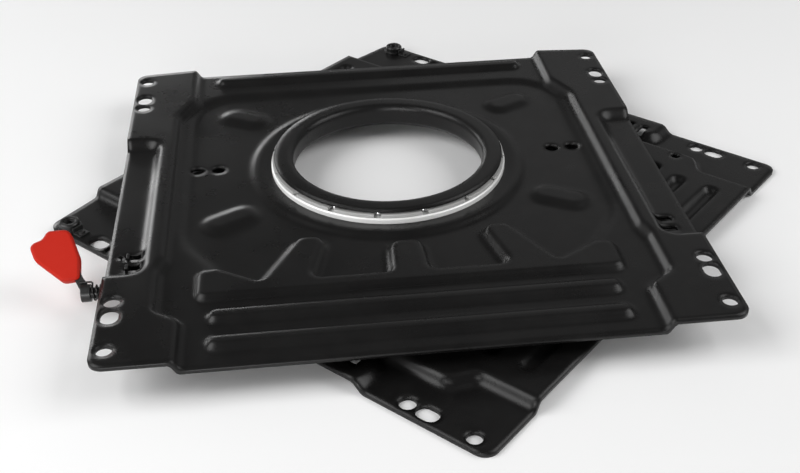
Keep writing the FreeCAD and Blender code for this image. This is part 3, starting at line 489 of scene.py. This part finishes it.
@dataclass
class BallBearing:
    """The race ring, the cages and both rows of balls."""

    shop: Workshop
    count: int = 16
    ball_sides: int = 32

    def _row_tree(self) -> bpy.types.NodeTree:
        """A ring of balls: points on a circle, a ball on each.

        Returns:
            The tree that makes one row.
        """
        takes = {"Circle Radius": 0.09, "Ball Radius": 0.002, "Height": 0.0, "Centre Y": 0.0,
                 "Turn": 0.0}
        sheet = open_group("ball_row", "GeometryNodeTree", takes,
                           {"Geometry": "NodeSocketGeometry"})
        given = sheet.add("NodeGroupInput")
        points = sheet.add("GeometryNodeMeshCircle", {
            "Vertices": self.count, "Radius": given.outputs["Circle Radius"]})
        ball = sheet.add("GeometryNodeMeshUVSphere", {
            "Segments": self.ball_sides, "Rings": self.ball_sides // 2,
            "Radius": given.outputs["Ball Radius"]})
        placed = sheet.add("GeometryNodeInstanceOnPoints", {
            "Points": points.outputs["Mesh"], "Instance": ball.outputs["Mesh"]})
        solid = sheet.add("GeometryNodeRealizeInstances", {"Geometry": placed.outputs["Instances"]})
        shift = sheet.add("ShaderNodeCombineXYZ", {
            "Y": given.outputs["Centre Y"], "Z": given.outputs["Height"]})
        turn = sheet.add("ShaderNodeCombineXYZ", {"Z": given.outputs["Turn"]})
        moved = sheet.add("GeometryNodeTransform", {
            "Geometry": solid.outputs["Geometry"], "Translation": shift.outputs["Vector"],
            "Rotation": turn.outputs["Vector"]})
        smooth = sheet.add("GeometryNodeSetShadeSmooth", {"Geometry": moved.outputs["Geometry"]})
        dressed = sheet.add("GeometryNodeSetMaterial", {
            "Geometry": smooth.outputs["Geometry"], "Material": self.shop.material(BALL)})
        sheet.add("NodeGroupOutput", {"Geometry": dressed.outputs["Geometry"]})
        return sheet.tree

    def build(self) -> None:
        """Dress the ring and cages, and make both rows of balls."""
        self.shop.dress("upper_race_ring", RING)
        tree = self._row_tree()
        for row, cage, body in (("upper_balls", "upper_ball_cage", Body.UPPER_CAGE),
                                ("lower_balls", "lower_ball_cage", Body.LOWER_CAGE)):
            self.shop.dress(cage, CAGE)
            low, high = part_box(row)
            radius = (high.z - low.z) / 2
            reach = (high.x - low.x) / 2 - radius
            step = math.pi / self.count
            piece = self.shop.grow(f"{row}_smooth", tree, {
                "Circle Radius": reach / math.cos(step), "Ball Radius": radius,
                "Height": (low.z + high.z) / 2, "Centre Y": self.shop.axis.y, "Turn": step})
            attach(piece, body.value)
            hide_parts(row)


@dataclass
class CornerNuts:
    """The two round nuts at the base plate's back corners, with threads in their bores."""

    shop: Workshop
    bore_radius: float = 5.1 * MM
    pitch: float = 1.5 * MM
    ridge: float = 0.75 * MM
    end_gap: float = 0.8 * MM
    steps: int = 40
    ridge_sides: int = 4

    def _thread_tree(self) -> bpy.types.NodeTree:
        """A thread: a spiral with a pointed section, placed in each nut.

        Returns:
            The tree that makes both threads.
        """
        takes = {"Radius": 0.005, "Turns": 3.0, "Rise": 0.0045, "Ridge": 0.0005,
                 "Spread": 0.2, "Centre Y": 0.0, "Low": 0.0}
        sheet = open_group("nut_threads", "GeometryNodeTree", takes,
                           {"Geometry": "NodeSocketGeometry"})
        given = sheet.add("NodeGroupInput")
        spiral = sheet.add("GeometryNodeCurveSpiral", {
            "Resolution": self.steps, "Rotations": given.outputs["Turns"],
            "Start Radius": given.outputs["Radius"], "End Radius": given.outputs["Radius"],
            "Height": given.outputs["Rise"]})
        section = sheet.add("GeometryNodeCurvePrimitiveCircle", {
            "Resolution": self.ridge_sides, "Radius": given.outputs["Ridge"]})
        thread = sheet.add("GeometryNodeCurveToMesh", {
            "Curve": spiral.outputs["Curve"], "Profile Curve": section.outputs["Curve"],
            "Fill Caps": True})
        left = sheet.maths("MULTIPLY", given.outputs["Spread"], -1.0)
        copies = []
        for across in (left, given.outputs["Spread"]):
            shift = sheet.add("ShaderNodeCombineXYZ", {
                "X": across, "Y": given.outputs["Centre Y"], "Z": given.outputs["Low"]})
            copies.append(sheet.add("GeometryNodeTransform", {
                "Geometry": thread.outputs["Mesh"], "Translation": shift.outputs["Vector"]}))
        both = sheet.add("GeometryNodeJoinGeometry")
        for copy in copies:
            sheet.tree.links.new(copy.outputs["Geometry"], both.inputs["Geometry"])
        solid = sheet.add("GeometryNodeRealizeInstances", {"Geometry": both.outputs["Geometry"]})
        dressed = sheet.add("GeometryNodeSetMaterial", {
            "Geometry": solid.outputs["Geometry"], "Material": self.shop.material(NUT)})
        sheet.add("NodeGroupOutput", {"Geometry": dressed.outputs["Geometry"]})
        return sheet.tree

    def build(self) -> None:
        """Dress the nuts and their lock tabs, and make the threads."""
        self.shop.dress("corner_nuts", NUT)
        self.shop.dress("nut_tabs", NUT)
        low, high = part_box("corner_nuts")
        centre_y = (low.y + high.y) / 2
        spread = (high.x - low.x) / 2 - (high.y - low.y) / 2
        rise = high.z - low.z - 2 * self.end_gap
        piece = self.shop.grow("nut_threads", self._thread_tree(), {
            "Radius": self.bore_radius, "Turns": rise / self.pitch, "Rise": rise,
            "Ridge": self.ridge, "Spread": spread, "Centre Y": centre_y,
            "Low": low.z + self.end_gap})
        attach(piece, Body.BASE.value)


@dataclass
class ReleaseLever:
    """The sprung lever under the seat plate's left edge.

    Its places count from the joint on the shaft.
    """

    shop: Workshop
    wire_radius: float = 0.7 * MM
    coil_radius: float = 5.2 * MM
    turns: float = 5.5
    pitch: float = 2.8 * MM
    coil_start: float = -8.0 * MM
    hole_across: float = -6.0 * MM
    hole_back: float = 30.5 * MM
    hole_top: float = 9.6 * MM
    hole_low: float = 0.4 * MM
    leg_back: float = 4.2 * MM
    leg_height: float = 6.49 * MM
    leg_end: float = -33.0 * MM
    bend_radius: float = 1.2 * MM
    steps: int = 30
    wire_sides: int = 14

    def _place(self) -> Matrix:
        """Find where the shaft is.

        Returns:
            Matrix from the shaft's own frame, X along the shaft, to the row frame.
        """
        joint = next(joint for joint in frame["joints"] if joint["name"] == "release_lever")
        along = Vector(joint["axis"]).normalized()
        back = Vector((0.0, 0.0, 1.0)).cross(along)
        place = Matrix((along, back, Vector((0.0, 0.0, 1.0)))).transposed().to_4x4()
        place.translation = Vector(joint["pos_m"])
        return place

    def _spring_path(self) -> bpy.types.Mesh:
        """The spring's middle line: a leg in the pocket's hole, the coil, a leg over the arm.

        Returns:
            A mesh of edges from end to end.
        """
        points = [(self.hole_across, self.hole_back, self.hole_top),
                  (self.hole_across, self.hole_back, self.hole_low)]
        for step in range(round(self.turns * self.steps) + 1):
            angle = 2 * math.pi * step / self.steps
            points.append((self.coil_start - self.pitch * step / self.steps,
                           -self.coil_radius * math.sin(angle),
                           -self.coil_radius * math.cos(angle)))
        points.append((points[-1][0], self.leg_back, self.leg_height))
        points.append((self.leg_end, self.leg_back, self.leg_height))
        place = self._place()
        mesh = bpy.data.meshes.new("spring_path")
        mesh.from_pydata([place @ Vector(point) for point in points],
                         [(index, index + 1) for index in range(len(points) - 1)], [])
        return mesh

    def _wire_tree(self) -> bpy.types.NodeTree:
        """Round wire along the start mesh's edges.

        Returns:
            The tree that makes the wire.
        """
        sheet = open_group("spring_wire", "GeometryNodeTree",
                           {"Wire Radius": 0.001, "Bend Radius": 0.001},
                           {"Geometry": "NodeSocketGeometry"}, path="Path")
        given = sheet.add("NodeGroupInput")
        curve = sheet.add("GeometryNodeMeshToCurve", {"Mesh": given.outputs["Path"]})
        bends = sheet.add("GeometryNodeFilletCurve", {
            "Curve": curve.outputs["Curve"], "Radius": given.outputs["Bend Radius"],
            "Limit Radius": True})
        section = sheet.add("GeometryNodeCurvePrimitiveCircle", {
            "Resolution": self.wire_sides, "Radius": given.outputs["Wire Radius"]})
        wire = sheet.add("GeometryNodeCurveToMesh", {
            "Curve": bends.outputs["Curve"], "Profile Curve": section.outputs["Curve"],
            "Fill Caps": True})
        smooth = sheet.add("GeometryNodeSetShadeSmooth", {"Geometry": wire.outputs["Mesh"]})
        solid = sheet.add("GeometryNodeRealizeInstances", {"Geometry": smooth.outputs["Geometry"]})
        dressed = sheet.add("GeometryNodeSetMaterial", {
            "Geometry": solid.outputs["Geometry"], "Material": self.shop.material(SPRING)})
        sheet.add("NodeGroupOutput", {"Geometry": dressed.outputs["Geometry"]})
        return sheet.tree

    def build(self) -> None:
        """Dress the lever's parts and wind the return spring."""
        for node, finish in (("latch_bracket", BRACKET), ("latch_pawl", PAWL),
                             ("lever_shaft", SHAFT), ("shaft_washer", SHAFT),
                             ("shaft_clip", SPRING), ("pawl_pin", SHAFT),
                             ("lever_arm", ARM), ("lever_grip", GRIP)):
            self.shop.dress(node, finish)
        piece = self.shop.grow("return_spring_round", self._wire_tree(), {
            "Wire Radius": self.wire_radius, "Bend Radius": self.bend_radius},
            self._spring_path())
        place = self._place()
        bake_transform(piece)
        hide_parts("return_spring")


@dataclass
class Studio:
    """Floor, lamps, world and the camera at the photograph's angle."""

    camera_place: Vector = field(default_factory=lambda: Vector((-0.62474, -0.47205, 0.48712)))
    camera_target: Vector = field(default_factory=lambda: Vector((-0.08120, -0.03904, 0.02200)))
    camera_roll: float = math.radians(-0.871)
    lens: float = 50.62
    sensor_width: float = 36.0
    nearest_view: float = 0.01
    floor_half: float = 12.0
    floor_patch_scale: float = 2.0
    floor_tones: tuple[float, float] = (0.93, 0.95)
    sky_heights: tuple[float, float] = (0.02, 0.30)
    sky_levels: tuple[float, float] = (0.50, 0.13)
    photo_turn: float = math.radians(-45.5)

    def _look(self, place: Vector, target: Vector, roll: float = 0.0) -> Matrix:
        """Aim a lamp or a camera.

        Args:
            place: Where it stands.
            target: What it looks at.
            roll: Turn about the line of view, in radians.

        Returns:
            Its matrix.
        """
        turn = (target - place).to_track_quat("-Z", "Y").to_matrix().to_4x4()
        return Matrix.Translation(place) @ turn @ Matrix.Rotation(roll, 4, "Z")

    def _from_photo(self, x: float, y: float, z: float) -> Vector:
        """A place given as the photograph's viewer sees it: X to the right, Y away."""
        return Matrix.Rotation(self.photo_turn, 3, "Z") @ Vector((x, y, z))

    def camera(self) -> None:
        """The photograph's camera."""
        data = bpy.data.cameras.new("photo_camera")
        data.lens = self.lens
        data.sensor_width = self.sensor_width
        data.clip_start = self.nearest_view
        holder = bpy.data.objects.new("photo_camera", data)
        holder.matrix_world = self._look(self.camera_place, self.camera_target, self.camera_roll)
        bpy.context.scene.collection.objects.link(holder)
        bpy.context.scene.camera = holder

    def floor(self) -> None:
        """A pale floor that keeps the object's shadow."""
        half = self.floor_half
        mesh = bpy.data.meshes.new("studio_floor")
        outline = [(-half, -half, 0.0), (half, -half, 0.0), (half, half, 0.0), (-half, half, 0.0)]
        mesh.from_pydata(outline, [], [(0, 1, 2, 3)])
        material = bpy.data.materials.new("pale_floor")
        material.use_nodes = True
        sheet = NodeSheet(material.node_tree)
        place = sheet.add("ShaderNodeTexCoord").outputs["Object"]
        cloud = sheet.add("ShaderNodeTexNoise", {
            "Vector": place, "Scale": self.floor_patch_scale, "Detail": 3.0}).outputs["Fac"]
        darker, paler = (colour4((grey, grey, grey)) for grey in self.floor_tones)
        tone = sheet.blend_colour(cloud, darker, paler)
        shader = sheet.add("ShaderNodeBsdfPrincipled", {"Base Color": tone, "Roughness": 0.85,
                                                        "Specular IOR Level": 0.1})
        sheet.add("ShaderNodeOutputMaterial", {"Surface": shader.outputs["BSDF"]})
        mesh.materials.append(material)
        plane = bpy.data.objects.new("studio_floor", mesh)
        bpy.context.scene.collection.objects.link(plane)

    def lamps(self) -> None:
        """Soft lamps, placed as the photograph's viewer sees them.

        The key lamp, low behind on the left, shows in the walls that face it. The low and back
        lamps show in the flats and crests, the side lamps light the floor and the grip, and the
        front lamp lights what faces the viewer.
        """
        for role, place, size, power in (
                (LampRole.KEY, (-1.33, 1.48, 0.26), (0.8, 0.6), 6.8),
                (LampRole.LOW, (-0.55, 1.90, 0.26), (0.7, 0.35), 3.0),
                (LampRole.LEFT, (-1.6, -0.3, 1.35), (1.5, 1.5), 32.0),
                (LampRole.RIGHT, (1.6, -0.3, 1.35), (1.5, 1.5), 23.5),
                (LampRole.BACK, (0.70, 1.80, 1.15), (1.3, 0.8), 0.9),
                (LampRole.FRONT, (-0.7, -1.7, 0.34), (1.3, 0.5), 17.0)):
            data = bpy.data.lights.new(f"{role.value}_lamp", "AREA")
            data.shape = "RECTANGLE"
            data.size, data.size_y = size
            data.energy = power
            lamp = bpy.data.objects.new(f"{role.value}_lamp", data)
            lamp.matrix_world = self._look(self._from_photo(*place), Vector((0.0, 0.0, 0.0)))
            bpy.context.scene.collection.objects.link(lamp)

    def world(self) -> None:
        """Light from all round, brighter at the horizon than overhead."""
        world = bpy.data.worlds.new("studio_world")
        bpy.context.scene.world = world
        world.use_nodes = True
        sheet = NodeSheet(world.node_tree)
        height = sheet.add("ShaderNodeSeparateXYZ", {
            "Vector": sheet.add("ShaderNodeTexCoord").outputs["Generated"]}).outputs["Z"]
        level = sheet.ramp(height, *self.sky_heights, *self.sky_levels)
        shade = sheet.add("ShaderNodeBackground", {
            "Color": colour4((1.0, 1.0, 1.0)), "Strength": level})
        sheet.add("ShaderNodeOutputWorld", {"Surface": shade.outputs["Background"]})
        bpy.context.scene.view_settings.view_transform = "Standard"

    def build(self) -> None:
        """Set up the whole studio."""
        self.camera()
        self.floor()
        self.lamps()
        self.world()


def main() -> None:
    """Build the sub-assemblies in order."""
    logging.basicConfig(level=logging.INFO, format="%(name)s: %(message)s")
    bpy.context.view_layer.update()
    axis = Vector(next(joint for joint in frame["joints"] if joint["name"] == "swivel")["pos_m"])
    shop = Workshop(SurfaceEffects(), axis)
    Studio().build()
    for part in (PressedPlates(shop), BallBearing(shop), CornerNuts(shop), ReleaseLever(shop)):
        part.build()
        LOG.info("finished %s", type(part).__name__)


if __name__ == "__main__":
    main()
